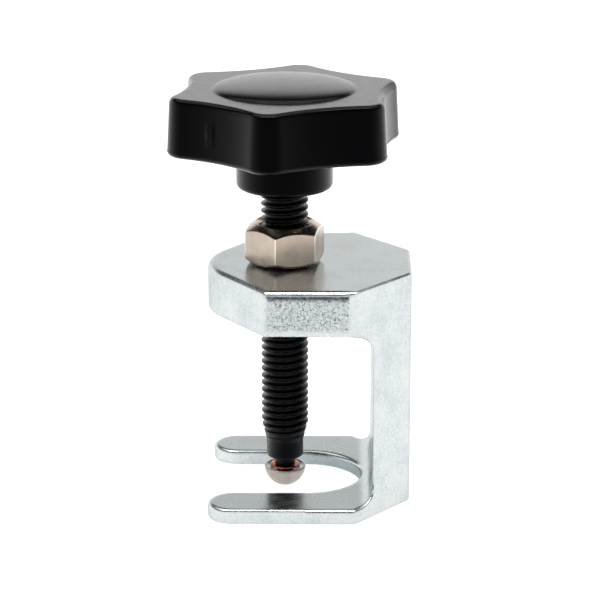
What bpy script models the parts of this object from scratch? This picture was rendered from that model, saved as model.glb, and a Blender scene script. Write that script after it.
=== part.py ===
"""A small ball joint separator: a forged C-shaped frame with a forked lower jaw, and an M8 spindle with
a star knob, a lock nut and a swivel pressure pad.

Frame of the part: metres, +Z up. The fork's underside is the plane z = 0, the fork opens towards -X and
the frame's back is at +X. The spindle's axis is upright, at x = SPINDLE_X, which puts the origin under
the middle of the whole tool. All other X sizes are counted from the spindle's axis.
"""

import math

import bmesh
import bpy
import numpy as np

MM = 0.001
SPINDLE_X = -1.05

# Frame: a C of flat jaws, seen from the side, under a plan with cut corners.
FRAME_HEIGHT = 40.0
HALF_WIDTH = 18.0
ARM_THICKNESS = 7.6
FORK_THICKNESS = 2.5
BACK_X = 21.0
BACK_HALF_WIDTH = 7.0
BACK_CORNER_X = 11.8
WEB_INNER_X = 14.7
UPPER_FILLET = 4.2
LOWER_FILLET = 2.5
NOSE_RADIUS = 12.8
NOSE_CORNER_X = -3.1
TINE_TIP_X = -12.6
SLOT_WIDTH = 19.0
SLOT_END_X = 12.9
FRAME_EDGE = 0.45

# M8 spindle: outside and root radius of the thread, and its pitch.
PITCH = 1.25
CREST_RADIUS = 3.95
ROOT_RADIUS = 3.27
THREAD_SIDES = 16
NECK_RADIUS = 3.1
NECK_BOTTOM_Z = 5.6
STEM_RADIUS = 1.75
STEM_BOTTOM_Z = 4.1
BALL_NECK_RADIUS = 0.95
BALL_RADIUS = 1.6
BALL_Z = 2.6
THREAD_BOTTOM_Z = 8.8
THREAD_TOP_Z = 54.2
SPINDLE_TOP_Z = 64.0
HOLE_RADIUS = 4.2
HOLE_COUNTERSINK = 0.4

# Swivel pressure pad, whose socket closes over the spindle's ball, and the copper washer above it.
PAD_RADIUS = 3.48
PAD_RIM_Z = 3.75
PAD_RIM_WIDTH = 0.28
SOCKET_RADIUS = 1.72
SOCKET_MOUTH_Z = 3.35
WASHER_INNER_RADIUS = 1.15
WASHER_OUTER_RADIUS = 2.45
WASHER_BOTTOM_Z = 3.79
WASHER_TOP_Z = 4.02

# Lock nut. The rims are the radii where the chamfers meet its two faces.
NUT_ACROSS_FLATS = 12.0
NUT_BOTTOM_Z = 40.3
NUT_HEIGHT = 6.5
NUT_TURN = math.radians(-12.3)
NUT_CHAMFER = math.radians(33)
NUT_TOP_RIM = 4.95
NUT_BOTTOM_RIM = 5.8
NUT_COUNTERSINK = 0.35

# Star knob: six lobes joined by shallow hollows, over a round hub.
LOBES = 6
LOBE_TIP_RADIUS = 19.75
LOBE_RADIUS = 3.4
HOLLOW_RADIUS = 16.4
KNOB_TURN = math.radians(-8.0)
KNOB_RIM_Z = 59.6
KNOB_TOP_Z = 69.3
KNOB_DRAFT = 0.5
KNOB_EDGE = 0.9
DOME_RADIUS = 11.7
DOME_HEIGHT = 1.2
HUB_RADIUS = 8.0
HUB_BOTTOM_Z = 52.8
HUB_EDGE = 1.0
HUB_TOP_Z = 66.0
RECESS_WALL = 2.6
RECESS_DEPTH = 2.5

# Steel bush moulded into the knob's hub, with a waist that the plastic grips.
BUSH_RADIUS = 5.8
BUSH_WAIST_RADIUS = 5.2
BUSH_WAIST_HEIGHT = 1.6
BUSH_SHOULDER = 0.4
BUSH_TOP_Z = 64.6
GAP = 0.15


def clear_scene():
    for obj in list(bpy.data.objects):
        bpy.data.objects.remove(obj, do_unlink=True)


def collection(name, hidden=False):
    made = bpy.data.collections.new(name)
    bpy.context.scene.collection.children.link(made)
    made.hide_render = hidden
    return made


def material(name, colour, roughness, metallic):
    made = bpy.data.materials.new(name)
    made.use_nodes = True
    shader = made.node_tree.nodes["Principled BSDF"]
    shader.inputs["Base Color"].default_value = (*colour, 1.0)
    shader.inputs["Roughness"].default_value = roughness
    shader.inputs["Metallic"].default_value = metallic
    return made


def link(obj, group):
    group.objects.link(obj)
    obj.parent = bpy.data.objects["spindle_foot"]
    if group.hide_render:
        obj.hide_render = True
        obj.display_type = "WIRE"
    return obj


def prism(name, outline, low, high, group, upright=False):
    """A flat outline in millimetres, made solid from low to high along Z, or along -Y when upright."""
    curve = bpy.data.curves.new(name, "CURVE")
    curve.dimensions = "2D"
    curve.fill_mode = "BOTH"
    curve.extrude = (high - low) / 2 * MM
    spline = curve.splines.new("POLY")
    spline.points.add(len(outline) - 1)
    for point, (x, y) in zip(spline.points, outline):
        point.co = (x * MM, y * MM, 0, 1)
    spline.use_cyclic_u = True
    drawn = bpy.data.objects.new(name, curve)
    if upright:
        drawn.rotation_euler = (math.pi / 2, 0, 0)
        drawn.location = (0, -(low + high) / 2 * MM, 0)
    else:
        drawn.location = (0, 0, (low + high) / 2 * MM)
    bpy.context.scene.collection.objects.link(drawn)
    bpy.context.view_layer.update()
    mesh = bpy.data.meshes.new_from_object(drawn.evaluated_get(bpy.context.evaluated_depsgraph_get()))
    mesh.transform(drawn.matrix_world)
    bpy.data.objects.remove(drawn)
    tidy(mesh)
    return link(bpy.data.objects.new(name, mesh), group)


def tidy(mesh):
    """Joins doubled points and turns every face outwards."""
    body = bmesh.new()
    body.from_mesh(mesh)
    bmesh.ops.remove_doubles(body, verts=body.verts, dist=1e-7)
    bmesh.ops.dissolve_degenerate(body, dist=1e-7, edges=body.edges)
    bmesh.ops.recalc_face_normals(body, faces=body.faces)
    body.to_mesh(mesh)
    body.free()


def turned(name, profile, group, steps=48, closed=False):
    """A profile of (radius, height) in millimetres, spun about Z. A closed one meets its own start."""
    mesh = bpy.data.meshes.new(name)
    count = len(profile)
    edges = [(i, i + 1) for i in range(count - 1)]
    if closed:
        edges.append((count - 1, 0))
    mesh.from_pydata([(r * MM, 0, z * MM) for r, z in profile], edges, [])
    obj = link(bpy.data.objects.new(name, mesh), group)
    spin = obj.modifiers.new("spin", "SCREW")
    spin.steps = spin.render_steps = steps
    spin.use_merge_vertices = True
    spin.merge_threshold = 1e-6
    spin.use_smooth_shade = False
    return obj


def boolean(obj, other, operation, solver="EXACT"):
    cut = obj.modifiers.new(operation.lower() + "_" + other.name, "BOOLEAN")
    cut.operation = operation
    cut.object = other
    cut.solver = solver


def bevel(obj, width, segments, angle):
    edge = obj.modifiers.new("edges", "BEVEL")
    edge.width = width * MM
    edge.segments = segments
    edge.limit_method = "ANGLE"
    edge.angle_limit = math.radians(angle)


def arc(centre, radius, start, end, count):
    """Points on an arc, from the start angle to the end angle in degrees."""
    angles = np.radians(np.linspace(start, end, count))
    return [(centre[0] + radius * math.cos(a), centre[1] + radius * math.sin(a)) for a in angles]


def mirrored(points):
    """The same points with y turned over, in reverse order, to close a symmetric outline."""
    return [(x, -y) for x, y in reversed(points)]


def finish(obj, paint, axis=None):
    """Paints and shades a piece, and hangs a moving one from the empty on its joint's axis."""
    obj.data.materials.append(paint)
    obj.data.shade_smooth()
    obj.data.set_sharp_from_angle(angle=math.radians(35))
    if axis:
        obj.parent = axis
        obj.location.z -= axis.location.z
    return obj


def frame_plan():
    """Outer plan of the frame: square-sided, with the two back corners cut off at about 50 degrees."""
    left = -NOSE_RADIUS - 2
    near = [(left, -HALF_WIDTH), (BACK_CORNER_X, -HALF_WIDTH), (BACK_X, -BACK_HALF_WIDTH)]
    return near + mirrored(near)


def frame_side():
    """Side view of the C: thick upper arm, web at the back, thin fork, and a fillet in each inner corner."""
    left = -NOSE_RADIUS - 4
    right = BACK_X + 2
    arm_z = FRAME_HEIGHT - ARM_THICKNESS
    upper = arc((WEB_INNER_X - UPPER_FILLET, arm_z - UPPER_FILLET), UPPER_FILLET, 90, 0, 7)
    lower = arc((WEB_INNER_X - LOWER_FILLET, FORK_THICKNESS + LOWER_FILLET), LOWER_FILLET, 0, -90, 6)
    jaws = [(left, arm_z)] + upper + lower + [(left, FORK_THICKNESS)]
    return jaws + [(left, 0), (right, 0), (right, FRAME_HEIGHT), (left, FRAME_HEIGHT)]


def nose_cut_plan():
    """What is cut from the upper arm: all outside a round nose and its two straight flanks."""
    to_corner = math.hypot(NOSE_CORNER_X, HALF_WIDTH)
    corner_angle = math.degrees(math.atan2(-HALF_WIDTH, NOSE_CORNER_X))
    touch = corner_angle - math.degrees(math.acos(NOSE_RADIUS / to_corner))
    nose = arc((0, 0), NOSE_RADIUS, touch, -180, 12)
    # The flank is carried 3 mm past the corner, so the cut leaves the frame's side cleanly.
    flank = (nose[0][0] - NOSE_CORNER_X, nose[0][1] + HALF_WIDTH)
    length = math.hypot(*flank)
    past = (NOSE_CORNER_X - 3 * flank[0] / length, -HALF_WIDTH - 3 * flank[1] / length)
    near = [(-NOSE_RADIUS - 8, -HALF_WIDTH - 8), (past[0], -HALF_WIDTH - 8), past] + nose
    return near + mirrored(near[:-1])


def fork_cut_plan():
    """What is cut from the lower jaw: the U-shaped slot, and all outside the tines' round ends."""
    slot_half = SLOT_WIDTH / 2
    tine_half = (HALF_WIDTH - slot_half) / 2
    tip = (TINE_TIP_X + tine_half, -(HALF_WIDTH + slot_half) / 2)
    outer = arc(tip, tine_half + 0.03, 270, 90, 15)
    slot_end = arc((SLOT_END_X - slot_half, 0), slot_half, -90, 0, 13)
    left = -NOSE_RADIUS - 8
    near = [(left, -HALF_WIDTH - 5), (tip[0], -HALF_WIDTH - 5)] + outer + slot_end
    return near + mirrored(near[:-1])


def make_frame(parts, cutters, paint):
    frame = prism("frame", frame_side(), -HALF_WIDTH - 2, HALF_WIDTH + 2, parts, upright=True)
    plan = prism("frame_plan", frame_plan(), -2, FRAME_HEIGHT + 2, cutters)
    nose = prism("nose_cut", nose_cut_plan(), FRAME_HEIGHT - ARM_THICKNESS - 6, FRAME_HEIGHT + 3, cutters)
    fork = prism("fork_cut", fork_cut_plan(), -3, FORK_THICKNESS + 6, cutters)
    boolean(frame, plan, "INTERSECT")
    boolean(frame, nose, "DIFFERENCE")
    boolean(frame, fork, "DIFFERENCE")
    bevel(frame, FRAME_EDGE, 2, 30)
    boolean(frame, spindle_hole(cutters), "DIFFERENCE")
    return finish(frame, paint)


def spindle_hole(cutters):
    """The tapped hole through the upper arm, at the thread's outside radius, with a countersunk mouth."""
    top, bottom = FRAME_HEIGHT, FRAME_HEIGHT - ARM_THICKNESS
    wide = HOLE_RADIUS + HOLE_COUNTERSINK
    return turned("spindle_hole", [
        (0, top + 1), (wide + 1, top + 1), (HOLE_RADIUS, top - HOLE_COUNTERSINK),
        (HOLE_RADIUS, bottom + HOLE_COUNTERSINK), (wide + 1, bottom - 1), (0, bottom - 1),
    ], cutters, steps=32)


def thread_rows():
    """Heights and radii of the thread, one column for each side, along the helix.

    Each turn has a root flat and a crest flat joined by two flanks. Rows past either end are drawn in to
    the end's root, where they fall on one point and are welded away.
    """
    share = np.array([0.0, 0.25, 0.5625, 0.6875])
    radius = np.array([ROOT_RADIUS, ROOT_RADIUS, CREST_RADIUS, CREST_RADIUS])
    turns = int((THREAD_TOP_Z - THREAD_BOTTOM_Z) / PITCH) + 2
    height = (np.arange(turns)[:, None] + share[None, :]).ravel() * PITCH
    lead = np.arange(THREAD_SIDES) / THREAD_SIDES * PITCH
    z = THREAD_BOTTOM_Z - PITCH + height[None, :] + lead[:, None]
    r = np.broadcast_to(np.tile(radius, turns), z.shape)
    inside = (z > THREAD_BOTTOM_Z) & (z < THREAD_TOP_Z)
    # The thread tapers in over the last two turns at either end.
    end = np.minimum(z - THREAD_BOTTOM_Z, THREAD_TOP_Z - z)
    taper = ROOT_RADIUS + 0.1 + 0.22 * np.maximum(end, 0)
    r = np.where(inside, np.minimum(r, taper), ROOT_RADIUS)
    return r, np.clip(z, THREAD_BOTTOM_Z, THREAD_TOP_Z)


def spindle_tip():
    """Turned profile below the thread, from the ball up: ball, its neck, stem and the spindle's neck."""
    top = math.degrees(math.acos(BALL_NECK_RADIUS / BALL_RADIUS))
    ball = arc((0, BALL_Z), BALL_RADIUS, -72, top, 9)
    return ball + [
        (BALL_NECK_RADIUS, STEM_BOTTOM_Z), (STEM_RADIUS, STEM_BOTTOM_Z), (STEM_RADIUS, NECK_BOTTOM_Z),
        (NECK_RADIUS - 0.35, NECK_BOTTOM_Z + 0.05), (NECK_RADIUS, NECK_BOTTOM_Z + 0.4),
        (NECK_RADIUS, THREAD_BOTTOM_Z - 0.1),
    ]


def make_spindle(parts, paint, axis):
    """One grid of points from the tip to the top, with a pole at each end."""
    thread_r, thread_z = thread_rows()
    tip = np.array(spindle_tip())
    top = np.array([(ROOT_RADIUS, THREAD_TOP_Z + 0.1), (CREST_RADIUS, THREAD_TOP_Z + 0.6),
                    (CREST_RADIUS, SPINDLE_TOP_Z - 0.6), (CREST_RADIUS - 0.6, SPINDLE_TOP_Z)])
    ones = np.ones((THREAD_SIDES, 1))
    r = np.hstack([ones * tip[:, 0], thread_r, ones * top[:, 0]])
    z = np.hstack([ones * tip[:, 1], thread_z, ones * top[:, 1]])
    angle = np.arange(THREAD_SIDES)[:, None] / THREAD_SIDES * 2 * math.pi
    points = np.stack([r * np.cos(angle), r * np.sin(angle), z], axis=-1) * MM
    rows = r.shape[1]
    first, last = len(tip), rows - len(top) - 1
    per_turn = 4

    def row_after_seam(row):
        """Past the last column the helix has climbed one turn, so thread rows meet rows one turn up."""
        return min(row + per_turn, last) if first <= row <= last else row

    def index(column, row):
        if column == THREAD_SIDES:
            return row_after_seam(row)
        return column * rows + row

    faces = []
    for column in range(THREAD_SIDES):
        for row in range(rows - 1):
            faces.append((index(column, row), index(column + 1, row),
                          index(column + 1, row + 1), index(column, row + 1)))
        if column == THREAD_SIDES - 1:
            # The seam's first turn of rows in column 0 hangs below the last column's first row.
            faces += [(index(column, first), row, row + 1) for row in range(first, first + per_turn)]
    low_pole = THREAD_SIDES * rows
    high_pole = low_pole + 1
    for column in range(THREAD_SIDES):
        beside = (column + 1) % THREAD_SIDES
        faces.append((low_pole, beside * rows, column * rows))
        faces.append((high_pole, column * rows + rows - 1, beside * rows + rows - 1))
    poles = [(0, 0, (BALL_Z - BALL_RADIUS) * MM), (0, 0, SPINDLE_TOP_Z * MM)]
    mesh = bpy.data.meshes.new("spindle")
    mesh.from_pydata([tuple(p) for p in points.reshape(-1, 3)] + poles, [], faces)
    tidy(mesh)
    return finish(link(bpy.data.objects.new("spindle", mesh), parts), paint, axis)


def make_pressure_pad(parts, paint, axis):
    """A cup, round outside, with a ball socket and a shallow dish above the socket's mouth."""
    outside = arc((0, PAD_RIM_Z), PAD_RADIUS, 0, -90, 13)
    mouth = math.degrees(math.asin((SOCKET_MOUTH_Z - BALL_Z) / SOCKET_RADIUS))
    socket = arc((0, BALL_Z), SOCKET_RADIUS, -90, mouth, 11)
    rim = [(PAD_RADIUS - PAD_RIM_WIDTH, PAD_RIM_Z)]
    pad = turned("pressure_pad", outside + socket + rim, parts, steps=32, closed=True)
    return finish(pad, paint, axis)


def make_swivel_washer(parts, paint, axis):
    washer = turned("swivel_washer", [
        (WASHER_INNER_RADIUS, WASHER_TOP_Z), (WASHER_OUTER_RADIUS, WASHER_TOP_Z),
        (WASHER_OUTER_RADIUS, WASHER_BOTTOM_Z), (WASHER_INNER_RADIUS, WASHER_BOTTOM_Z),
    ], parts, steps=32, closed=True)
    return finish(washer, paint, axis)


def make_lock_nut(parts, cutters, paint, axis):
    """A hexagon with its corners turned off, deeply on top, and a countersunk hole."""
    corner = NUT_ACROSS_FLATS / math.sqrt(3)
    bpy.ops.mesh.primitive_cylinder_add(vertices=6, radius=corner * MM, depth=NUT_HEIGHT * MM)
    nut = bpy.context.object
    nut.name = "lock_nut"
    nut.users_collection[0].objects.unlink(nut)
    link(nut, parts)
    nut.location = (0, 0, (NUT_BOTTOM_Z + NUT_HEIGHT / 2) * MM)
    nut.rotation_euler = (0, 0, NUT_TURN)
    outside = corner + 0.5
    top_drop = (outside - NUT_TOP_RIM) * math.tan(NUT_CHAMFER)
    bottom_drop = (outside - NUT_BOTTOM_RIM) * math.tan(NUT_CHAMFER)
    low, high = NUT_BOTTOM_Z, NUT_BOTTOM_Z + NUT_HEIGHT
    envelope = turned("nut_envelope", [
        (0, high + 0.001), (NUT_TOP_RIM, high + 0.001), (outside, high - top_drop),
        (outside, low + bottom_drop), (NUT_BOTTOM_RIM, low - 0.001), (0, low - 0.001),
    ], cutters, steps=48)
    wide = HOLE_RADIUS + NUT_COUNTERSINK
    hole = turned("nut_hole", [
        (0, high + 1), (wide + 1, high + 1), (HOLE_RADIUS, high - NUT_COUNTERSINK),
        (HOLE_RADIUS, low + NUT_COUNTERSINK), (wide + 1, low - 1), (0, low - 1),
    ], cutters, steps=32)
    boolean(nut, envelope, "INTERSECT")
    boolean(nut, hole, "DIFFERENCE")
    return finish(nut, paint, axis)


def star_radius(angle, inset=0.0):
    """Distance from the axis to the knob's outline, at an angle from a lobe's middle.

    A lobe is a convex arc. The hollow between two lobes is a concave arc that meets both smoothly: the
    distance between their centres is the sum of their radii.
    """
    half = math.pi / LOBES
    lobe_x = LOBE_TIP_RADIUS - LOBE_RADIUS
    reach = HOLLOW_RADIUS - LOBE_RADIUS
    hollow_centre = (lobe_x ** 2 - reach ** 2) / (2 * (lobe_x * math.cos(half) - reach))
    lobe_r = LOBE_RADIUS - inset
    hollow_r = hollow_centre - HOLLOW_RADIUS + inset
    share = lobe_r / (lobe_r + hollow_r)
    touch_x = lobe_x + share * (hollow_centre * math.cos(half) - lobe_x)
    touch_y = share * hollow_centre * math.sin(half)
    turn = abs((angle + half) % (2 * half) - half)
    if turn < math.atan2(touch_y, touch_x):
        return lobe_x * math.cos(turn) + math.sqrt(lobe_r ** 2 - (lobe_x * math.sin(turn)) ** 2)
    off = half - turn
    return hollow_centre * math.cos(off) - math.sqrt(hollow_r ** 2 - (hollow_centre * math.sin(off)) ** 2)


def star_outline(inset=0.0, count_per_lobe=16):
    """The knob's outline, or one that runs a wall's thickness inside it."""
    points = []
    for step in range(LOBES * count_per_lobe):
        angle = step / count_per_lobe * 2 * math.pi / LOBES
        r = star_radius(angle, inset)
        direction = -math.pi / 2 + KNOB_TURN + angle
        points.append((r * math.cos(direction), r * math.sin(direction)))
    return points


def make_star_knob(parts, cutters, paint, axis):
    knob = prism("star_knob", star_outline(), KNOB_RIM_Z, KNOB_TOP_Z, parts)
    draft_lower_edge(knob)
    bevel(knob, KNOB_EDGE, 3, 60)
    dome = turned("knob_dome", [(x, KNOB_TOP_Z + z) for x, z in dome_profile()], cutters, steps=48)
    recess = prism("knob_recess", star_outline(RECESS_WALL), KNOB_RIM_Z - 3, KNOB_RIM_Z + RECESS_DEPTH,
                   cutters)
    hub_edge = arc((HUB_RADIUS - HUB_EDGE, HUB_BOTTOM_Z + HUB_EDGE), HUB_EDGE, 0, -90, 5)
    hub = turned("knob_hub", [(0, HUB_TOP_Z), (HUB_RADIUS, HUB_TOP_Z)] + hub_edge + [(0, HUB_BOTTOM_Z)],
                 cutters, steps=40)
    seat = turned("bush_seat", bush_outside(GAP, 1.0), cutters, steps=32)
    # The bevel leaves slivers in the star's flat faces, which the exact solver can't cut.
    boolean(knob, dome, "UNION", "MANIFOLD")
    boolean(knob, recess, "DIFFERENCE", "MANIFOLD")
    boolean(knob, hub, "UNION", "MANIFOLD")
    boolean(knob, seat, "DIFFERENCE", "MANIFOLD")
    return finish(knob, paint, axis)


def draft_lower_edge(knob):
    """Moulding draft: the lower rim is a little wider than the upper one."""
    grow = 1 + KNOB_DRAFT / LOBE_TIP_RADIUS
    for vertex in knob.data.vertices:
        if vertex.co.z < (KNOB_RIM_Z + 1) * MM:
            vertex.co.x *= grow
            vertex.co.y *= grow


def dome_profile():
    """A flattened half ellipse, steep at its edge and nearly flat on top, with a root below the top face."""
    slopes = np.radians(np.linspace(0, 84, 10))
    upper = [(DOME_RADIUS * math.sin(a), DOME_HEIGHT * math.cos(a)) for a in slopes]
    return upper + [(DOME_RADIUS, 0), (DOME_RADIUS, -1.5), (0, -1.5)]


def bush_outside(gap=0.0, below=0.0):
    """Outside of the bush with a gap round it, from the top of its axis down, with a waist half way."""
    bottom = HUB_BOTTOM_Z + 0.1
    middle = (BUSH_TOP_Z + bottom) / 2
    wide, waist = BUSH_RADIUS + gap, BUSH_WAIST_RADIUS + gap
    near, far = BUSH_WAIST_HEIGHT / 2, BUSH_WAIST_HEIGHT / 2 + BUSH_SHOULDER
    return [
        (0, BUSH_TOP_Z + gap), (wide, BUSH_TOP_Z + gap), (wide, middle + far), (waist, middle + near),
        (waist, middle - near), (wide, middle - far), (wide, bottom - below), (0, bottom - below),
    ]


def make_knob_bush(parts, cutters, paint, axis):
    bush = turned("knob_bush", bush_outside(), parts, steps=32)
    bore = turned("bush_bore", [
        (0, SPINDLE_TOP_Z + GAP), (HOLE_RADIUS, SPINDLE_TOP_Z + GAP),
        (HOLE_RADIUS, HUB_BOTTOM_Z - 1), (0, HUB_BOTTOM_Z - 1),
    ], cutters, steps=32)
    boolean(bush, bore, "DIFFERENCE")
    return finish(bush, paint, axis)


def empty(name, location, parent=None):
    made = bpy.data.objects.new(name, None)
    made.empty_display_size = 5 * MM
    made.location = [value * MM for value in location]
    made.parent = parent
    bpy.context.scene.collection.objects.link(made)
    return made


def main():
    clear_scene()
    parts = collection("ball_joint_separator")
    cutters = collection("cutters", hidden=True)
    zinc = material("zinc_plated_steel", (0.62, 0.66, 0.68), 0.3, 1.0)
    black_steel = material("black_oxide_steel", (0.015, 0.015, 0.017), 0.4, 0.6)
    nickel = material("nickel_plated_steel", (0.62, 0.57, 0.50), 0.22, 1.0)
    copper = material("copper", (0.72, 0.30, 0.18), 0.25, 1.0)
    bakelite = material("black_bakelite", (0.012, 0.012, 0.014), 0.25, 0.0)
    bright_steel = material("turned_steel", (0.5, 0.5, 0.5), 0.35, 1.0)
    # The travel and turning axes run up through spindle_foot. The pad tilts about the ball's centre.
    foot = empty("spindle_foot", (SPINDLE_X, 0, 0))
    turning = empty("turning_axis", (0, 0, STEM_BOTTOM_Z), foot)
    ball_centre = empty("ball_centre", (0, 0, BALL_Z), foot)
    make_frame(parts, cutters, zinc)
    make_swivel_washer(parts, copper, turning)
    make_pressure_pad(parts, nickel, ball_centre)
    make_spindle(parts, black_steel, turning)
    make_star_knob(parts, cutters, bakelite, turning)
    make_knob_bush(parts, cutters, bright_steel, turning)
    make_lock_nut(parts, cutters, nickel, turning)


main()
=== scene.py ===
"""Looks of the ball joint separator: plated C-frame, black spindle and star knob, nickel nut and pad."""

import math

import bmesh
import bpy
import numpy as np
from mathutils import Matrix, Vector


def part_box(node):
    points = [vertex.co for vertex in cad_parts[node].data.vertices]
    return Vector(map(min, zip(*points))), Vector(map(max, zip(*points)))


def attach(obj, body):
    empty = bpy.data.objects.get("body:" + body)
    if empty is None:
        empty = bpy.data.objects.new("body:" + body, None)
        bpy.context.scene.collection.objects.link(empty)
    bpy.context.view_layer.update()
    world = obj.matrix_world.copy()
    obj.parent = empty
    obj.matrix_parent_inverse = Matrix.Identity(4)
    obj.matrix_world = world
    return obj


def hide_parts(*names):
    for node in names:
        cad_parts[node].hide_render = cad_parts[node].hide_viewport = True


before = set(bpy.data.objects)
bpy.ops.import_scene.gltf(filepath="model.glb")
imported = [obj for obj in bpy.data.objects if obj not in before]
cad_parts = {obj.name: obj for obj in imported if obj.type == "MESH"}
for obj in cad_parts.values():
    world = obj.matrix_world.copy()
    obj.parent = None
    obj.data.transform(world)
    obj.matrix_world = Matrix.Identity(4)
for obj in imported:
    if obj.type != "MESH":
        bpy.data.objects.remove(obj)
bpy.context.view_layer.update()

MM = 0.001
TURN = 2 * math.pi


# ---------------------------------------------------------------- places, in millimetres, from the frame

def span(node):
    """Lowest and highest corner of a node, in millimetres."""
    low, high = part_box(node)
    return np.array(low) / MM, np.array(high) / MM


FRAME_LOW, FRAME_HIGH = span("frame")
SPINDLE_LOW, SPINDLE_HIGH = span("spindle")
KNOB_LOW, KNOB_HIGH = span("star_knob")
NUT_LOW, NUT_HIGH = span("lock_nut")
PAD_LOW, PAD_HIGH = span("pressure_pad")
WASHER_LOW, WASHER_HIGH = span("swivel_washer")
BUSH_LOW, BUSH_HIGH = span("knob_bush")

AXIS_X = (SPINDLE_LOW[0] + SPINDLE_HIGH[0]) / 2
CREST_RADIUS = (SPINDLE_HIGH[0] - SPINDLE_LOW[0]) / 2
HALF_WIDTH = FRAME_HIGH[1]
BACK_X = FRAME_HIGH[0] - AXIS_X
HEIGHT = FRAME_HIGH[2]
NOSE_RADIUS = AXIS_X - FRAME_LOW[0]

# Frame sizes. X sizes are counted from the spindle's axis.
ARM_THICKNESS = 7.6
FORK_THICKNESS = 2.5
BACK_HALF_WIDTH = 7.0
BACK_CORNER_X = 11.8
WEB_INNER_X = 14.7
UPPER_FILLET = 4.2
LOWER_FILLET = 2.5
NOSE_CORNER_X = -3.1
TINE_TIP_X = -12.6
SLOT_WIDTH = 19.0
SLOT_END_X = 12.9
HOLE_RADIUS = 4.2
HOLE_SINK = 0.5
HOLE_EDGE = 0.12
FRONT_EDGE = 1.0
BACK_EDGE = 0.4
FORK_EDGE = 0.65
FORK_EDGE_TOP = FORK_THICKNESS + LOWER_FILLET + 1.0
EDGE_BLEND = 2.0
CORNER_ROUND = 0.5
SLOT_CORNER = 0.05

# Cast skin on the arm's flat sides: where it stops short of the corners and edges, how deep it lies, and
# the painted dark reflection line along its top.
SKIN_NOSE_MARGIN = 0.2
SKIN_BACK_MARGIN = 1.0
SKIN_TOP_MARGIN = 0.45
SKIN_BOTTOM_MARGIN = 0.9
SKIN_RAGGEDNESS = 0.25
SKIN_FADE = 0.4
SKIN_DEPTH = 0.05
SKIN_LUMPS = 0.03
DARK_REFLECTION_DEPTH = 0.95
DARK_REFLECTION_WIDTH = 0.45

# The frame's mesh: size of a grid cell, and the steps that bring its points on to the skin.
CELL = 0.3
SETTLING_STEPS = 4

# Spindle sizes.
PITCH = 1.25
ROOT_RADIUS = 3.27
THREAD_BOTTOM = 8.8
NECK_RADIUS = 3.1
NECK_BOTTOM = 5.6
STEM_RADIUS = 1.75
STEM_BOTTOM = 4.1
BALL_RADIUS = 1.6
BALL_Z = 2.6
BALL_NECK = 0.95
PLAIN_TOP = 1.0
RUN_OUT_DEPTH = 0.12
RUN_OUT_SLOPE = 0.26

# Knob sizes.
LOBES = 6
LOBE_TIP = 19.66
LOBE_RADIUS = 3.4
HOLLOW_RADIUS = 16.4
KNOB_TURN = math.radians(-8.0)
KNOB_RIM_Z = 59.6
DOME_RADIUS = 11.7
DOME_HEIGHT = 1.2
DOME_FOOT = 0.25
DOME_FOOT_RISE = 0.12
KNOB_DRAFT = 0.5
KNOB_EDGE = 0.95
HUB_RADIUS = 8.0
HUB_EDGE = 1.0
RECESS_WALL = 2.6
RECESS_DEPTH = 2.5
SIDE_SINKS = 0.03

# Ejector mark on the knob's side: direction and half width in degrees, height of its middle, and its size.
MARK_ANGLE = 324.0
MARK_HALF = 2.6
MARK_Z = 64.6
MARK_HEIGHT = 3.4
MARK_RISE = 0.12

# Nut sizes.
NUT_TURN = math.radians(-12.3)
NUT_ACROSS_FLATS = 12.0
NUT_TOP_RIM = 4.95
NUT_BOTTOM_RIM = 5.8
NUT_CHAMFER = math.radians(33)
NUT_EDGE = 0.3
NUT_MOUTH = 0.65

# Gaps that keep pieces apart: at the bush's bore and its seat, in the nut, and round the ball.
BUSH_PLAY = 0.25
SEAT_PLAY = 0.12
NUT_PLAY = 0.2
SOCKET_PLAY = 0.12

# Radii of the openings of the pad's socket and of the washer.
SOCKET_MOUTH = 0.75
WASHER_INNER = 1.15


# ---------------------------------------------------------------- mesh code

def arc(centre, radius, start, end, count):
    """Points (x, y) = centre + radius (cos a, sin a), with a evenly spaced in degrees from start to end."""
    a = np.radians(np.linspace(start, end, count))
    return np.stack([centre[0] + radius * np.cos(a), centre[1] + radius * np.sin(a)], axis=1)


def softened(profile, radii, steps=5):
    """A line of points whose corners are rounded.

    Each corner P is replaced by the curve (1-t)^2 S + 2t(1-t) P + t^2 E, where S and E lie on its two sides
    at the corner's radius from P, but no further than 45% of the side.
    """
    profile = np.asarray(profile, float)
    parts = [profile[:1]]
    t = np.linspace(0, 1, steps + 1)[:, None]
    for before, corner, after, radius in zip(profile[:-2], profile[1:-1], profile[2:], radii[1:-1]):
        to_before, to_after = before - corner, after - corner
        lengths = np.hypot(*to_before), np.hypot(*to_after)
        start = corner + to_before * min(radius / lengths[0], 0.45)
        end = corner + to_after * min(radius / lengths[1], 0.45)
        curve = (1 - t) ** 2 * start + 2 * t * (1 - t) * corner + t ** 2 * end
        parts.append(curve if radius else corner[None])
    parts.append(profile[-1:])
    return np.concatenate(parts)


def grid_mesh(name, points, closed_rows=False):
    """A mesh from points[row, column], closed round its columns. A row that is all one point makes a pole.

    Row r, column c is joined to row r + 1 and column c + 1 by one face. closed_rows joins the last row to
    the first. Rows run so that the faces point outwards when they go down an outer side, anticlockwise
    columns seen from above.
    """
    rows, columns = points.shape[:2]
    index = np.arange(rows * columns).reshape(rows, columns)
    if closed_rows:
        index = np.vstack([index, index[:1]])
    beside = np.roll(index, -1, axis=1)
    faces = np.stack([index[:-1], index[1:], beside[1:], beside[:-1]], axis=-1).reshape(-1, 4)
    mesh = bpy.data.meshes.new(name)
    mesh.from_pydata((points.reshape(-1, 3) * MM).tolist(), [], faces.tolist())
    tidy(mesh)
    return mesh


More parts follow.
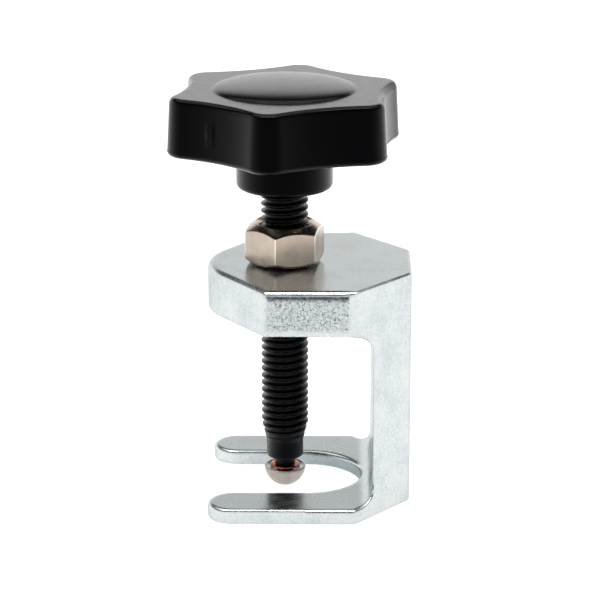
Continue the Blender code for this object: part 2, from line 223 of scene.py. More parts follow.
def tidy(mesh):
    """Welds doubled points and poles, and drops faces that have no area."""
    body = bmesh.new()
    body.from_mesh(mesh)
    bmesh.ops.remove_doubles(body, verts=body.verts, dist=2e-7)
    bmesh.ops.dissolve_degenerate(body, dist=1e-8, edges=body.edges)
    bmesh.ops.recalc_face_normals(body, faces=body.faces)
    body.to_mesh(mesh)
    body.free()


def turned(name, profile, columns=96, closed=False):
    """Point (row, column) = (r cos a, r sin a, z) about the spindle's axis, a from 0 to a full turn."""
    profile = np.asarray(profile, float)
    a = np.arange(columns) / columns * TURN
    r, z = profile[:, :1], profile[:, 1:]
    points = np.stack([AXIS_X + r * np.cos(a), r * np.sin(a), z + 0 * a], axis=-1)
    return grid_mesh(name, points, closed)


def piece(name, mesh, body, paint, sharp=35):
    """An object for a finished mesh, riding on its body."""
    obj = bpy.data.objects.new(name, mesh)
    bpy.context.scene.collection.objects.link(obj)
    mesh.materials.clear()
    mesh.materials.append(paint)
    mesh.shade_smooth()
    mesh.set_sharp_from_angle(angle=math.radians(sharp))
    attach(obj, body)
    return obj


# ---------------------------------------------------------------- shapes

def lattice_noise(points, cell, seed):
    """Smooth noise from -1 to 1: seeded values on a lattice of that cell size, eased between its corners."""
    period = 64
    values = np.random.default_rng(seed).uniform(-1, 1, (period, period, period))
    at = points / cell
    corner = np.floor(at).astype(int)
    t = at - corner
    t = t * t * (3 - 2 * t)
    total = np.zeros(points.shape[:-1])
    for step in np.ndindex(2, 2, 2):
        share = np.prod(np.where(np.array(step) == 1, t, 1 - t), axis=-1)
        near = np.mod(corner + step, period)
        total += share * values[near[..., 0], near[..., 1], near[..., 2]]
    return total


def meet(a, b, radius):
    """Distance to what is inside both a and b, with the edge between them rounded to the radius.

    Below both edges' bands it is the larger distance. In them it is the length of (a + r, b + r), less r.
    """
    beyond = np.hypot(np.maximum(a + radius, 0), np.maximum(b + radius, 0))
    return np.minimum(np.maximum(a, b), -radius) + beyond


def window_distance(x, z):
    """Distance to the C's opening seen from the side: a box open at the front, with two round corners."""
    middle = (FORK_THICKNESS + HEIGHT - ARM_THICKNESS) / 2
    half = (HEIGHT - ARM_THICKNESS - FORK_THICKNESS) / 2
    fillet = np.where(z > middle, UPPER_FILLET, LOWER_FILLET)
    across = x - WEB_INNER_X + fillet
    up = np.abs(z - middle) - half + fillet
    past_corner = np.hypot(np.maximum(across, 0), np.maximum(up, 0))
    return np.minimum(np.maximum(across, up), 0) + past_corner - fillet


def nose_distance(x, y):
    """Distance to a circle about the spindle, joined to each front corner by its tangent line."""
    y = np.abs(y)
    reach = math.hypot(NOSE_CORNER_X, HALF_WIDTH)
    tangent = math.atan2(HALF_WIDTH, NOSE_CORNER_X) + math.acos(NOSE_RADIUS / reach)
    out = x * math.cos(tangent) + y * math.sin(tangent)
    along = x * math.sin(tangent) - y * math.cos(tangent)
    return np.where(along > 0, out, np.hypot(x, y)) - NOSE_RADIUS


def fork_distance(x, y):
    """Distance to two tines with round ends and the bridge behind them, less the U-shaped slot."""
    y = np.abs(y)
    slot_half = SLOT_WIDTH / 2
    half = (HALF_WIDTH - slot_half) / 2
    tine = np.hypot(np.minimum(x - TINE_TIP_X - half, 0), y - slot_half - half) - half
    slot_centre = SLOT_END_X - slot_half
    slot = np.hypot(np.maximum(x - slot_centre, 0), y) - slot_half
    return meet(np.minimum(tine, slot_centre - x), -slot, SLOT_CORNER)


def frame_distance(points):
    """Distance from each point (x, y, z) to the frame's skin, below zero inside it."""
    x, y, z = points[..., 0] - AXIS_X, points[..., 1], points[..., 2]
    run = np.array([BACK_X - BACK_CORNER_X, BACK_HALF_WIDTH - HALF_WIDTH])
    run /= np.hypot(*run)
    chamfer = (x - BACK_CORNER_X) * -run[1] + (np.abs(y) - HALF_WIDTH) * run[0]
    plan = meet(meet(np.abs(y) - HALF_WIDTH, chamfer, CORNER_ROUND), x - BACK_X, CORNER_ROUND)
    upper = z > HEIGHT / 2
    jaw = np.where(upper, nose_distance(x, y), fork_distance(x, y))
    plan = meet(plan, jaw, CORNER_ROUND)
    # The arm's top edge is broken wider in front than at the back, and the fork's wider above than below.
    arm_edge = BACK_EDGE + (FRONT_EDGE - BACK_EDGE) * np.clip((BACK_CORNER_X - x) / EDGE_BLEND, 0, 1)
    near_fork = np.clip((FORK_EDGE_TOP - z) / EDGE_BLEND, 0, 1) * (z > FORK_THICKNESS / 2)
    edge = np.where(upper, arm_edge, BACK_EDGE + (FORK_EDGE - BACK_EDGE) * near_fork)
    edge = np.where(upper & (z < HEIGHT - ARM_THICKNESS / 2), BACK_EDGE, edge)
    flats = np.abs(z - HEIGHT / 2) - HEIGHT / 2
    window = -window_distance(x, z)
    solid = meet(meet(flats, plan, edge), window, edge)
    shoulder = np.abs(z - HEIGHT + ARM_THICKNESS / 2) - ARM_THICKNESS / 2 + HOLE_SINK
    bore = HOLE_RADIUS + np.clip(shoulder, 0, 2 * HOLE_SINK) - np.hypot(x, y)
    return meet(solid, np.where(upper, bore, -HOLE_RADIUS), HOLE_EDGE)


def frame_points():
    """Points and faces of the frame's skin, from its distance sampled on a cubic grid.

    Each cell that the skin crosses holds one point, at the mean of the crossings on the cell's twelve
    edges; make_frame then steps it down the distance's slope on to the skin. Each grid edge that the skin
    crosses makes one face from the points of its four cells.
    """
    low = FRAME_LOW - 2.1 * CELL
    counts = np.ceil((FRAME_HIGH - low) / CELL).astype(int) + 3
    grid = low + np.stack(np.meshgrid(*map(np.arange, counts), indexing="ij"), axis=-1) * CELL
    value = frame_distance(grid)
    total, crossings = np.zeros((*(counts - 1), 3)), np.zeros(counts - 1)
    edges = []
    for axis in range(3):
        first = np.moveaxis(value, axis, 0)[:-1]
        last = np.moveaxis(value, axis, 0)[1:]
        crossed = np.moveaxis((first < 0) != (last < 0), 0, axis)
        share = np.moveaxis(first / np.where(first == last, 1, first - last), 0, axis)
        place = np.delete(grid, -1, axis=axis).copy()
        place[..., axis] += share * CELL
        others = [other for other in range(3) if other != axis]
        for step in np.ndindex(2, 2):
            view = [slice(None)] * 3
            for other, shift in zip(others, step):
                view[other] = slice(shift, counts[other] - 1 + shift)
            hit = crossed[tuple(view)]
            total += np.where(hit[..., None], place[tuple(view)], 0)
            crossings += hit
        edges.append((crossed, np.moveaxis(first < 0, 0, axis)))
    used = crossings > 0
    number = np.full(used.shape, -1)
    number[used] = np.arange(used.sum())
    points = total[used] / crossings[used][:, None]
    faces = []
    for axis, (crossed, inside) in enumerate(edges):
        after, last = np.roll(np.eye(3, dtype=int), -axis, axis=0)[1:]
        at = np.argwhere(crossed)
        corners = [number[tuple((at - back).T)] for back in (after * 0, after, after + last, last)]
        quads = np.stack(corners, axis=1)
        turn = inside[tuple(at.T)]
        faces.append(np.where(turn[:, None], quads, quads[:, ::-1]))
    return points, np.concatenate(faces)


def slope(points, step=0.02):
    """The distance's slope at each point, by central differences."""
    rise = [frame_distance(points + way) - frame_distance(points - way) for way in np.eye(3) * step]
    return np.stack(rise, axis=-1) / (2 * step)


def cast_skin(points):
    """Share of cast skin at each point, and how far it stands in.

    The share falls to 0 at a ragged outline on the two flat sides. The depth is a mean and lumps 1.2 and
    2.4 mm across.
    """
    x, y, z = points[..., 0] - AXIS_X, points[..., 1], points[..., 2]
    inset_x = np.minimum(x - NOSE_CORNER_X - SKIN_NOSE_MARGIN, BACK_CORNER_X - x - SKIN_BACK_MARGIN)
    inset_z = np.minimum(HEIGHT - z - SKIN_TOP_MARGIN, z - HEIGHT + ARM_THICKNESS - SKIN_BOTTOM_MARGIN)
    ragged = np.minimum(inset_x, inset_z) + SKIN_RAGGEDNESS * lattice_noise(points, 0.7, 5)
    share = np.clip(ragged / SKIN_FADE, 0, 1) * (np.abs(y) > HALF_WIDTH - 0.06)
    lumps = lattice_noise(points, 1.2, 3) + 0.8 * lattice_noise(points, 2.4, 4)
    return share, share * (SKIN_DEPTH + SKIN_LUMPS * lumps)


def make_frame(paint):
    """The frame's skin, with the shares of cast skin, painted slot-wall shade and the painted dark
    reflection under the bevel kept as attributes.
    """
    points, faces = frame_points()
    for _ in range(SETTLING_STEPS):
        down = slope(points)
        points = points - (frame_distance(points) / np.sum(down ** 2, axis=1))[:, None] * down
    normal = slope(points)
    normal /= np.linalg.norm(normal, axis=1)[:, None]
    share, depth = cast_skin(points)
    points = points - normal * depth[:, None]
    mesh = bpy.data.meshes.new("separator_frame")
    mesh.from_pydata((points * MM).tolist(), [], faces.tolist())
    x, y, z = (points - [AXIS_X, 0, 0]).T
    # Painted shade on the slot's wall: from 2 mm behind the tips, in full 16 mm further in, and not at its
    # top edge.
    in_slot = SLOT_WIDTH / 2 + 0.2 - np.hypot(np.maximum(x - SLOT_END_X + SLOT_WIDTH / 2, 0), y)
    deep_in = np.clip((x - TINE_TIP_X - 2) / 16, 0, 1)
    slot_wall_shade = deep_in * np.clip(np.minimum(in_slot, FORK_THICKNESS - 0.4 - z) / 0.3, 0, 1)
    # Painted dark reflection: a dark band under the arm's top bevel, on the cast skin.
    bevel_dark_reflection = share * np.exp(-((HEIGHT - z - DARK_REFLECTION_DEPTH) / DARK_REFLECTION_WIDTH) ** 2)
    for name, value in (("cast_skin", share), ("slot_wall_shade", slot_wall_shade), ("bevel_dark_reflection", bevel_dark_reflection)):
        mesh.attributes.new(name, "FLOAT", "POINT").data.foreach_set("value", value)
    body = piece("separator_frame", mesh, "frame", paint, 60)
    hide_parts("frame")


def thread_height(phase):
    """Height of a rounded metric thread, 0 at its root and 1 on its crest, for a phase of 0 to 1 of a turn.

    The distance from the crest's middle is stretched so that an eighth of the pitch is crest and a quarter
    is root. Half of the straight flank and half of a cubic ease give worn, plated corners.
    """
    crest_share, root_share = 0.125, 0.25
    away = np.abs(2 * phase - 1)
    straight = 1 - np.clip((away - crest_share) / (1 - crest_share - root_share), 0, 1)
    return 0.5 * straight + 0.5 * straight ** 2 * (3 - 2 * straight)


def spindle_points(columns=84, rows_per_turn=14):
    """Radius at angle a and height z = root + depth x thread height at phase z / pitch - a / turn.

    It is kept under a cone that tapers in at the lower end. Above and below are turned rows.
    """
    top = SPINDLE_HIGH[2]
    a = np.arange(columns) / columns * TURN
    rows = int((top - PLAIN_TOP - THREAD_BOTTOM) / PITCH * rows_per_turn)
    z = np.linspace(top - PLAIN_TOP, THREAD_BOTTOM, rows)[:, None]
    phase = np.mod(z / PITCH - a / TURN, 1)
    crest = ROOT_RADIUS + (CREST_RADIUS - ROOT_RADIUS) * thread_height(phase)
    taper = ROOT_RADIUS - RUN_OUT_DEPTH + RUN_OUT_SLOPE * np.maximum(z - THREAD_BOTTOM, 0)
    r = np.minimum(crest, taper)
    ball_top = math.degrees(math.acos(BALL_NECK / BALL_RADIUS))
    ball = arc((0, BALL_Z), BALL_RADIUS, ball_top, -90, 20)
    tip = softened([
        (NECK_RADIUS, THREAD_BOTTOM - 0.15), (NECK_RADIUS, NECK_BOTTOM), (STEM_RADIUS, NECK_BOTTOM),
        (STEM_RADIUS, STEM_BOTTOM), (BALL_NECK, STEM_BOTTOM), tuple(ball[0]),
    ], [0, 0.45, 0.15, 0.2, 0.05, 0])
    above = np.array([(0, top), (ROOT_RADIUS, top), (ROOT_RADIUS, top - 0.9 * PLAIN_TOP)])
    below = np.concatenate([tip, ball[1:]])
    r = np.concatenate([above[:, :1] + 0 * a, r, below[:, :1] + 0 * a])
    z = np.concatenate([above[:, 1:] + 0 * a, z + 0 * a, below[:, 1:] + 0 * a])
    return np.stack([AXIS_X + r * np.cos(a), r * np.sin(a), z], axis=-1)


def make_spindle(paint):
    """The spindle: thread, neck, stem and ball in one closed skin."""
    spindle = piece("threaded_spindle", grid_mesh("threaded_spindle", spindle_points()), "spindle",
                    paint)
    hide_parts("spindle")


def star_radius(angle, inset):
    """Distance from the axis to the star outline, drawn in by inset, at an angle from a lobe's middle.

    A lobe is a convex arc about a point at lobe_x. The hollow between two lobes is a concave arc about a
    point half way between their directions, and the two arcs touch where their centres' line crosses them.
    """
    half = math.pi / LOBES
    lobe_x = LOBE_TIP - LOBE_RADIUS
    reach = HOLLOW_RADIUS - LOBE_RADIUS
    hollow_x = (lobe_x ** 2 - reach ** 2) / (2 * (lobe_x * math.cos(half) - reach))
    lobe_r = LOBE_RADIUS - inset
    hollow_r = hollow_x - HOLLOW_RADIUS + inset
    share = lobe_r / (lobe_r + hollow_r)
    touch = np.arctan2(share * hollow_x * math.sin(half),
                       lobe_x + share * (hollow_x * math.cos(half) - lobe_x))
    turn = np.abs(np.mod(angle + half, 2 * half) - half)
    off = half - turn
    on_lobe = lobe_x * np.cos(turn) + np.sqrt(np.maximum(lobe_r ** 2 - (lobe_x * np.sin(turn)) ** 2, 0))
    depth = hollow_r ** 2 - (hollow_x * np.sin(off)) ** 2
    in_hollow = hollow_x * np.cos(off) - np.sqrt(np.maximum(depth, 0))
    return np.where(turn < touch, on_lobe, in_hollow)


def knob_rows():
    """Rows of (share of star, circle radius, inset, height), from the dome's middle to the hub's seat."""
    top = KNOB_HIGH[2] - DOME_HEIGHT
    turns = np.radians(np.linspace(0, 90, 26))[:-1]
    dome = [(0, DOME_RADIUS * math.sin(s), 0, top + DOME_HEIGHT * math.cos(s) ** 0.9) for s in turns]
    foot = [(0, DOME_RADIUS + d, 0, top + DOME_FOOT_RISE * (1 - d / DOME_FOOT) ** 2)
            for d in np.linspace(0, DOME_FOOT, 4)]
    flat = [(s, DOME_RADIUS + DOME_FOOT, KNOB_EDGE, top) for s in np.linspace(0, 1, 14)[1:-1]]
    a = np.radians(np.linspace(0, 90, 9))
    drop = top - KNOB_RIM_Z
    upper_edge = [(1, 0, KNOB_EDGE * (1 - math.sin(s)), top - KNOB_EDGE * (1 - math.cos(s))) for s in a]
    side = [(1, 0, -KNOB_DRAFT * t, top - drop * t)
            for t in np.linspace(KNOB_EDGE / drop, 1 - KNOB_EDGE / drop, 9)]
    lower_edge = [(1, 0, KNOB_EDGE * (1 - math.cos(s)) - KNOB_DRAFT,
                   KNOB_RIM_Z + KNOB_EDGE * (1 - math.sin(s))) for s in a]
    ceiling = KNOB_RIM_Z + RECESS_DEPTH
    wall = softened([(0, KNOB_RIM_Z), (RECESS_WALL - KNOB_EDGE, KNOB_RIM_Z), (RECESS_WALL + 0.2, ceiling),
                     (RECESS_WALL + 3, ceiling)], [0, 0.4, 0.5, 0], 4)[1:-1]
    recess = [(1, 0, inset + KNOB_EDGE - KNOB_DRAFT * 0.5, z) for inset, z in wall - [KNOB_EDGE * 0.5, 0]]
    inward = [(s, HUB_RADIUS + 0.6, RECESS_WALL + 0.6, ceiling) for s in np.linspace(1, 0, 8)[1:]]
    bottom = KNOB_LOW[2]
    seat_radius = (BUSH_HIGH[0] - BUSH_LOW[0]) / 2 + SEAT_PLAY
    seat_top = BUSH_HIGH[2] + SEAT_PLAY
    hub = softened([(HUB_RADIUS + 0.6, ceiling), (HUB_RADIUS, ceiling), (HUB_RADIUS, bottom),
                    (seat_radius, bottom), (seat_radius, seat_top), (0, seat_top)],
                   [0, 0.5, HUB_EDGE, 0.15, 0.1, 0], 8)[1:]
    top_rows = dome + foot + flat + upper_edge
    under_rows = lower_edge + recess + inward + [(0, r, 0, z) for r, z in hub]
    return top_rows + side + under_rows


def knob_points(columns_per_lobe=60):
    """Radius = (1 - star) x circle radius + star x star outline at that inset, at every row's height.

    The side has shallow sinks that run down it, and a small raised pad left by the mould's ejector.
    """
    columns = LOBES * columns_per_lobe
    angle = np.arange(columns) / columns * TURN
    star, circle, inset, z = (np.array(knob_rows())[:, k:k + 1] for k in range(4))
    r = (1 - star) * circle + star * star_radius(angle, inset)
    between_edges = (z > KNOB_RIM_Z + 0.4) & (z < KNOB_HIGH[2] - DOME_HEIGHT - 0.4)
    on_side = (star == 1) & between_edges & (inset < KNOB_EDGE)
    around = 9 * np.stack([np.cos(angle), np.sin(angle), 0 * angle], axis=-1)
    r = r + on_side * SIDE_SINKS * lattice_noise(around, 2.2, 8)
    mark = (np.abs(np.degrees(angle) - MARK_ANGLE) < MARK_HALF) & (np.abs(z - MARK_Z) < MARK_HEIGHT / 2)
    r = r + on_side * mark * MARK_RISE
    direction = angle - TURN / 4 + KNOB_TURN
    return np.stack([AXIS_X + r * np.cos(direction), r * np.sin(direction), z + 0 * angle], axis=-1)


def make_knob(paint, bush_paint):
    """The knob, and the turned bush in its hub, whose bore clears the thread."""
    knob = piece("moulded_star_knob", grid_mesh("moulded_star_knob", knob_points()), "spindle",
                 paint, 50)
    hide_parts("star_knob")
    outer = (BUSH_HIGH[0] - BUSH_LOW[0]) / 2
    low, high = BUSH_LOW[2], BUSH_HIGH[2]
    bore = CREST_RADIUS + BUSH_PLAY
    profile = softened([
        (0, high), (outer, high), (outer, low), (bore + 0.3, low), (bore, low + 0.3), (bore, high - 0.4),
        (0, high - 0.4),
    ], [0, 0.3, 0.3, 0.1, 0.1, 0, 0])
    bush = piece("hub_bush", turned("hub_bush", profile), "spindle", bush_paint)
    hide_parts("knob_bush")


def soft_least(a, b, width):
    """The smaller of a and b, eased over width w where they nearly meet: h b + (1-h) a - w h (1-h)."""
    share = np.clip(0.5 + 0.5 * (a - b) / width, 0, 1)
    return a + (b - a) * share - width * share * (1 - share)


def nut_points(columns_per_side=48, side_rows=64):
    """Radius of the side = the least of the hexagon's two nearest flats and the two chamfer cones.

    A flat's radius is half / cos(angle from its middle). A cone's is its rim plus the depth below the face
    over the cone's slope. Returned beside the points is how far each was eased, which marks the edges.
    """
    low, high = NUT_LOW[2], NUT_HIGH[2]
    half = NUT_ACROSS_FLATS / 2
    a = np.arange(6 * columns_per_side) / (6 * columns_per_side) * TURN
    from_corner = np.mod(a, TURN / 6)
    flats = half / np.cos(TURN / 12 - from_corner)
    past_corner = np.minimum(from_corner, TURN / 6 - from_corner)
    next_flat = half / np.cos(TURN / 12 + past_corner)
    hexagon = soft_least(flats, next_flat, NUT_EDGE)
    z = np.linspace(high, low, side_rows)[:, None]
    cone = np.minimum(NUT_TOP_RIM + (high - z) / math.tan(NUT_CHAMFER),
                      NUT_BOTTOM_RIM + (z - low) / math.tan(NUT_CHAMFER))
    side = soft_least(hexagon, cone, NUT_EDGE)
    eased = (np.minimum(np.minimum(flats, next_flat), cone) - side) / (NUT_EDGE / 4)
    bore = CREST_RADIUS + NUT_PLAY
    mouth = bore + NUT_MOUTH
    inner = np.array([(bore, low + 0.7), (bore, high - 0.7), (mouth - 0.04, high - 0.04),
                      (mouth + 0.05, high)])
    outer = np.array([(mouth + 0.05, low), (mouth - 0.04, low + 0.04)])
    r = np.concatenate([inner[:, :1] + 0 * a, side, outer[:, :1] + 0 * a])
    z = np.concatenate([inner[:, 1:] + 0 * a, z + 0 * a, outer[:, 1:] + 0 * a])
    eased = np.concatenate([np.zeros((4, len(a))), eased, np.zeros((2, len(a)))])
    turn = a + NUT_TURN + TURN / 12
    return np.stack([AXIS_X + r * np.cos(turn), r * np.sin(turn), z], axis=-1), eased


def make_nut(paint):
    """The nut, with how far each point is eased kept as an attribute for its painted edge highlight."""
    points, eased = nut_points()
    mesh = grid_mesh("hex_lock_nut", points, closed_rows=True)
    mesh.attributes.new("edge", "FLOAT", "POINT").data.foreach_set("value", eased.ravel())
    nut = piece("hex_lock_nut", mesh, "nut", paint, 60)
    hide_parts("lock_nut")


def make_pad(paint, copper):
    """The pad, a half ball round a socket with a dished top, and the flat washer above it."""
    rim_z, radius = PAD_HIGH[2], (PAD_HIGH[0] - PAD_LOW[0]) / 2
    socket = BALL_RADIUS + SOCKET_PLAY
    mouth = math.degrees(math.asin(SOCKET_MOUTH / socket))
    inside = arc((0, BALL_Z), socket, -90, mouth, 20)
    outside = arc((0, rim_z), radius, 0, -90, 36)
    rim = softened([inside[-1], (radius - 0.35, rim_z - 0.02), (radius, rim_z), outside[2]],
                   [0, 0.15, 0.2, 0], 4)[1:-1]
    profile = np.concatenate([inside, rim, outside[2:]])[::-1]
    pad = piece("swivel_pad", turned("swivel_pad", profile), "pad", paint)
    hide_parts("pressure_pad")
    outer = (WASHER_HIGH[0] - WASHER_LOW[0]) / 2
    low, high = WASHER_LOW[2], WASHER_HIGH[2]
    middle = (low + high) / 2
    ring = softened([(WASHER_INNER, middle), (WASHER_INNER, high), (outer, high), (outer, low),
                     (WASHER_INNER, low), (WASHER_INNER, middle - 0.01)],
                    [0, 0.05, 0.08, 0.08, 0.05, 0], 4)
    washer = piece("copper_washer", turned("copper_washer", ring, closed=True), "swivel",
                   copper)
    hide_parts("swivel_washer")


# ---------------------------------------------------------------- materials

def linear(hex_colour):
    """An sRGB hex colour as linear red, green, blue and alpha."""
    values = np.array([int(hex_colour[i:i + 2], 16) for i in (1, 3, 5)]) / 255
    return (*np.where(values <= 0.04045, values / 12.92, ((values + 0.055) / 1.055) ** 2.4), 1.0)


def material(name, colour, roughness, metallic=0.0, **settings):
    """A new material and its principled shader, with the given sockets set."""
    made = bpy.data.materials.new(name)
    made.use_nodes = True
    shader = made.node_tree.nodes["Principled BSDF"]
    shader.inputs["Base Color"].default_value = linear(colour)
    shader.inputs["Roughness"].default_value = roughness
    shader.inputs["Metallic"].default_value = metallic
    for socket, value in settings.items():
        shader.inputs[socket].default_value = value
    return made, shader


def node(paint, kind, links=(), inputs=(), **settings):
    """Adds a node, sets its properties and inputs, and links (its input, other output) pairs."""
    made = paint.node_tree.nodes.new("ShaderNode" + kind)
    for key, value in settings.items():
        setattr(made, key, value)
    for key, value in dict(inputs).items():
        made.inputs[key].default_value = value
    for key, output in dict(links).items():
        paint.node_tree.links.new(output, made.inputs[key])
    return made


# Sockets of a colour Mix node: its two colours, and its result.
MIX_A = 6
MIX_B = 7
MIX_RESULT = 2


def ramp(made, stops):
    """Sets a colour ramp's (place, hex colour) stops."""
    elements = made.color_ramp.elements
    while len(elements) < len(stops):
        elements.new(0.5)
    for element, (place, colour) in zip(elements, stops):
        element.position = place
        element.color = linear(colour)


def darkened(paint, colour, share, dark_hex):
    """The colour multiplied by a dark one where the share is 1."""
    made = node(paint, "Mix", {"Factor": share, MIX_A: colour}, {MIX_B: linear(dark_hex)},
                data_type="RGBA", blend_type="MULTIPLY")
    return made.outputs[MIX_RESULT]


def attribute(paint, name):
    """The value of one of the piece's own attributes."""
    return node(paint, "Attribute", attribute_name=name).outputs["Fac"]


def zinc_plate():
    """Bright zinc over forged steel: satin, faintly blue-green, and rough cast skin on the flat sides."""
    paint, shader = material("zinc_plate_bright_on_forged_steel", "#DDE3E4", 0.22, 1.0)
    shader.inputs["Specular Tint"].default_value = linear("#D8D9D8")
    place = node(paint, "TexCoord").outputs["Object"]
    rough_skin = attribute(paint, "cast_skin")
    # Passivation clouds, 4 to 8 mm across.
    cloud = node(paint, "TexNoise", {"Vector": place}, {"Scale": 170.0, "Detail": 5.0, "Roughness": 0.62})
    tint = node(paint, "ValToRGB", {"Fac": cloud.outputs["Fac"]})
    ramp(tint, [(0.3, "#C4CCCE"), (0.52, "#D4DADB"), (0.72, "#DFE1E1")])
    # Blasted grain under the plate, about 0.4 mm.
    grain = node(paint, "TexNoise", {"Vector": place}, {"Scale": 2400.0, "Detail": 2.0})
    speck = node(paint, "ValToRGB", {"Fac": grain.outputs["Fac"]})
    ramp(speck, [(0.3, "#F1F1F1"), (0.6, "#FFFFFF")])
    # Wrinkles of the cast skin, about 0.8 mm apart; their ramp paints shade into the low parts, the creases.
    wrinkle = node(paint, "TexNoise", {"Vector": place},
                   {"Scale": 1250.0, "Detail": 1.5, "Roughness": 0.5, "Distortion": 3.2})
    groove = node(paint, "ValToRGB", {"Fac": wrinkle.outputs["Fac"]})
    ramp(groove, [(0.28, "#787C80"), (0.44, "#D6D8D9"), (0.54, "#FFFFFF")])
    grooved = node(paint, "Mix", {"Factor": rough_skin, MIX_A: tint.outputs["Color"],
                                  MIX_B: groove.outputs["Color"]}, data_type="RGBA", blend_type="MULTIPLY")
    # Painted shade darkens the slot's wall, and a painted dark reflection lies in the band under the arm's
    # bevel.
    base = darkened(paint, grooved.outputs[MIX_RESULT], attribute(paint, "slot_wall_shade"), "#94A2A6")
    base = darkened(paint, base, attribute(paint, "bevel_dark_reflection"), "#3A3B3F")
    mottled = node(paint, "Mix", {MIX_A: base, MIX_B: speck.outputs["Color"]}, {"Factor": 1.0},
                   data_type="RGBA", blend_type="MULTIPLY")
    paint.node_tree.links.new(mottled.outputs[MIX_RESULT], shader.inputs["Base Color"])
    gloss = node(paint, "MapRange", {"Value": cloud.outputs["Fac"]},
                 {"From Min": 0.3, "From Max": 0.7, "To Min": 0.2, "To Max": 0.32})
    matt = node(paint, "Math", {0: rough_skin}, {1: 0.16}, operation="MULTIPLY")
    total = node(paint, "Math", {0: gloss.outputs["Result"], 1: matt.outputs[0]}, operation="ADD")
    paint.node_tree.links.new(total.outputs[0], shader.inputs["Roughness"])
    fine = node(paint, "Bump", {"Height": grain.outputs["Fac"]}, {"Strength": 0.3, "Distance": 0.00003})
    deep = node(paint, "Bump", {"Height": wrinkle.outputs["Fac"], "Strength": rough_skin,
                                "Normal": fine.outputs["Normal"]}, {"Distance": 0.00013})
    paint.node_tree.links.new(deep.outputs["Normal"], shader.inputs["Normal"])
    return paint


def black_oxide():
    """Black oxide on a rolled thread, oiled: near black, with thin bright lines along the crests."""
    paint, shader = material("black_oxide_on_rolled_steel", "#020203", 0.3, 0.0, IOR=1.6)
    shader.inputs["Specular Tint"].default_value = linear("#6E6E74")
    place = node(paint, "TexCoord").outputs["Object"]
    grain = node(paint, "TexNoise", {"Vector": place}, {"Scale": 900.0, "Detail": 3.0})
    rough = node(paint, "MapRange", {"Value": grain.outputs["Fac"]}, {"To Min": 0.2, "To Max": 0.42})
    paint.node_tree.links.new(rough.outputs["Result"], shader.inputs["Roughness"])
    bump = node(paint, "Bump", {"Height": grain.outputs["Fac"]}, {"Strength": 0.15, "Distance": 0.00005})
    paint.node_tree.links.new(bump.outputs["Normal"], shader.inputs["Normal"])
    return paint


def nickel(name, light, dark, roughness):
    """Nickel plate on steel: warm, bright, a little milky and clouded, and with a painted pale highlight
    along the edges its piece marks.
    """
    paint, shader = material(name, light, roughness, 1.0)
    place = node(paint, "TexCoord").outputs["Object"]
    cloud = node(paint, "TexNoise", {"Vector": place}, {"Scale": 420.0, "Detail": 4.0})
    tint = node(paint, "ValToRGB", {"Fac": cloud.outputs["Fac"]})
    ramp(tint, [(0.3, dark), (0.7, light)])
    # Painted highlight: the colour turns pale cream where the nut's edges are eased.
    edge = node(paint, "MapRange", {"Value": attribute(paint, "edge")}, {"From Min": 0.25, "From Max": 0.8})
    pale = node(paint, "Mix", {"Factor": edge.outputs["Result"], MIX_A: tint.outputs["Color"]},
                {MIX_B: linear("#FFF3E4")}, data_type="RGBA")
    paint.node_tree.links.new(pale.outputs[MIX_RESULT], shader.inputs["Base Color"])
    rough = node(paint, "MapRange", {"Value": cloud.outputs["Fac"]},
                 {"To Min": roughness * 0.7, "To Max": roughness * 1.3})
    paint.node_tree.links.new(rough.outputs["Result"], shader.inputs["Roughness"])
    return paint


def turned_metal(name, bright, dull):
    """Bare metal with fine turning rings about the axis, and dull tarnish in patches."""
    paint, shader = material(name, bright, 0.28, 1.0)
    place = node(paint, "TexCoord").outputs["Object"]
    tarnish = node(paint, "TexNoise", {"Vector": place}, {"Scale": 900.0, "Detail": 3.0})
    tint = node(paint, "ValToRGB", {"Fac": tarnish.outputs["Fac"]})
    ramp(tint, [(0.35, dull), (0.6, bright)])
    paint.node_tree.links.new(tint.outputs["Color"], shader.inputs["Base Color"])
    # Rings 0.12 mm apart.
    centred = node(paint, "VectorMath", {0: place}, operation="SUBTRACT")
    centred.inputs[1].default_value = (AXIS_X * MM, 0, 0)
    rings = node(paint, "TexWave", {"Vector": centred.outputs[0]},
                 {"Scale": 2600.0, "Distortion": 0.4}, wave_type="RINGS", rings_direction="Z")
    bump = node(paint, "Bump", {"Height": rings.outputs["Fac"]}, {"Strength": 0.25, "Distance": 0.00001})
    paint.node_tree.links.new(bump.outputs["Normal"], shader.inputs["Normal"])
    return paint


def phenolic():
    """Compression-moulded black phenolic: deep black, glossy, with a trace of orange peel."""
    paint, shader = material("phenolic_black_moulded", "#040405", 0.2, 0.0, IOR=1.5)
    shader.inputs["Specular Tint"].default_value = linear("#3A3A3E")
    place = node(paint, "TexCoord").outputs["Object"]
    peel = node(paint, "TexNoise", {"Vector": place}, {"Scale": 520.0, "Detail": 2.0})
    rough = node(paint, "MapRange", {"Value": peel.outputs["Fac"]}, {"To Min": 0.16, "To Max": 0.26})
    paint.node_tree.links.new(rough.outputs["Result"], shader.inputs["Roughness"])
    bump = node(paint, "Bump", {"Height": peel.outputs["Fac"]}, {"Strength": 0.06, "Distance": 0.0001})
    paint.node_tree.links.new(bump.outputs["Normal"], shader.inputs["Normal"])
    return paint


# ---------------------------------------------------------------- studio

def area_light(name, place, target, size, power):
    """A rectangular soft box that faces its target."""
    light = bpy.data.lights.new(name, "AREA")
    light.shape = "RECTANGLE"
    light.size, light.size_y = size
    light.energy = power
    lamp = bpy.data.objects.new(name, light)
    lamp.location = place
    lamp.rotation_euler = (Vector(target) - Vector(place)).to_track_quat("-Z", "Y").to_euler()
    bpy.context.scene.collection.objects.link(lamp)
    return lamp


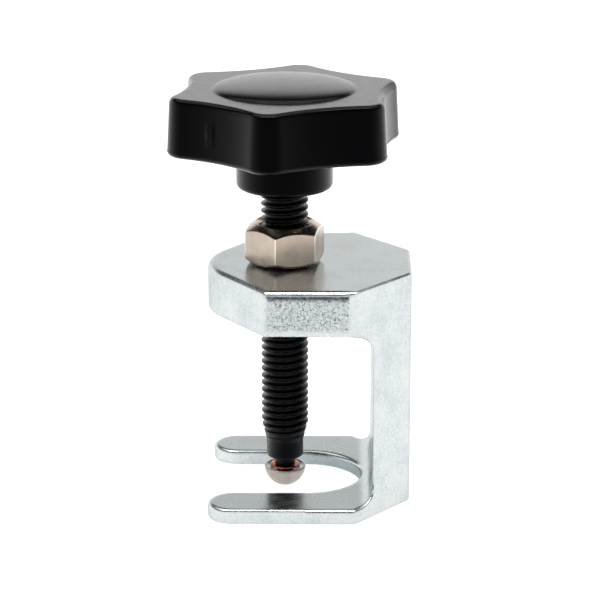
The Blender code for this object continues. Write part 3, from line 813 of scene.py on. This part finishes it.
def studio():
    """A backlit pale floor, a soft sky that is brighter behind, and three soft boxes above."""
    paint, shader = material("opal_acrylic_light_table", "#9F9F9E", 0.9)
    # The sheet is lit from below as well, so that it holds no grey shadow under the fork.
    shader.inputs["Emission Color"].default_value = (1, 1, 1, 1)
    shader.inputs["Emission Strength"].default_value = 0.9
    half_side = 3.0
    # It lies a hair below the fork, whose underside would otherwise share its plane.
    level = -0.05 * MM
    signs = [(-1, -1), (1, -1), (1, 1), (-1, 1)]
    corners = [(half_side * x, half_side * y, level) for x, y in signs]
    mesh = bpy.data.meshes.new("floor")
    mesh.from_pydata(corners, [], [(0, 1, 2, 3)])
    mesh.materials.append(paint)
    floor = bpy.data.objects.new("floor", mesh)
    bpy.context.scene.collection.objects.link(floor)
    sky = bpy.data.worlds.new("studio_sky")
    bpy.context.scene.world = sky
    sky.use_nodes = True
    part = node(sky, "SeparateXYZ", {"Vector": node(sky, "TexCoord").outputs["Generated"]})
    # Brighter to the back, and dark above a third of the way up.
    back = node(sky, "MapRange", {"Value": part.outputs["Y"]},
                {"From Min": -0.4, "From Max": 0.7, "To Min": 1.1, "To Max": 1.35})
    dusk = node(sky, "MapRange", {"Value": part.outputs["Z"]},
                {"From Min": 0.34, "From Max": 0.47, "To Min": 1.0, "To Max": 0.02})
    sweep = node(sky, "Math", {0: back.outputs["Result"], 1: dusk.outputs["Result"]}, operation="MULTIPLY")
    sky.node_tree.links.new(sweep.outputs[0], sky.node_tree.nodes["Background"].inputs["Strength"])
    sky.node_tree.nodes["Background"].inputs["Color"].default_value = (1, 1, 1, 1)
    area_light("overhead_box", (0, 0.11, 0.6), (0, 0.11, 0), (1.0, 0.6), 2.8)
    area_light("strip_box", (0, -0.1, 0.55), (0, 0, 0.04), (0.5, 0.1), 3.0).visible_diffuse = False
    area_light("back_floor_box", (0, 0.55, 0.5), (0, 0.5, 0), (0.9, 0.5), 4.0).visible_glossy = False


def camera():
    """The camera looks slightly down, from a little right of the spindle."""
    right, away, up = 0.006589, 0.404649, 0.159221
    look_down, look_left = 0.302, 0.01
    data = bpy.data.cameras.new("camera")
    data.sensor_width = 36.0
    data.lens = 151.97
    eye = bpy.data.objects.new("camera", data)
    eye.location = (AXIS_X * MM + right, -away, up)
    eye.rotation_euler = (math.pi / 2 - look_down, 0, look_left)
    bpy.context.scene.collection.objects.link(eye)
    bpy.context.scene.camera = eye


camera()
studio()
bpy.context.scene.view_settings.view_transform = "Standard"
make_frame(zinc_plate())
make_spindle(black_oxide())
make_knob(phenolic(), turned_metal("turned_free_cutting_steel", "#A8A8A5", "#7E7E7C"))
make_nut(nickel("nickel_plate_on_nut", "#C6B6A8", "#AFA396", 0.24))
copper = turned_metal("copper_stamped_half_bright", "#D08468", "#8A3A28")
make_pad(nickel("nickel_plate_on_pad", "#B3ACA4", "#9B948B", 0.27), copper)
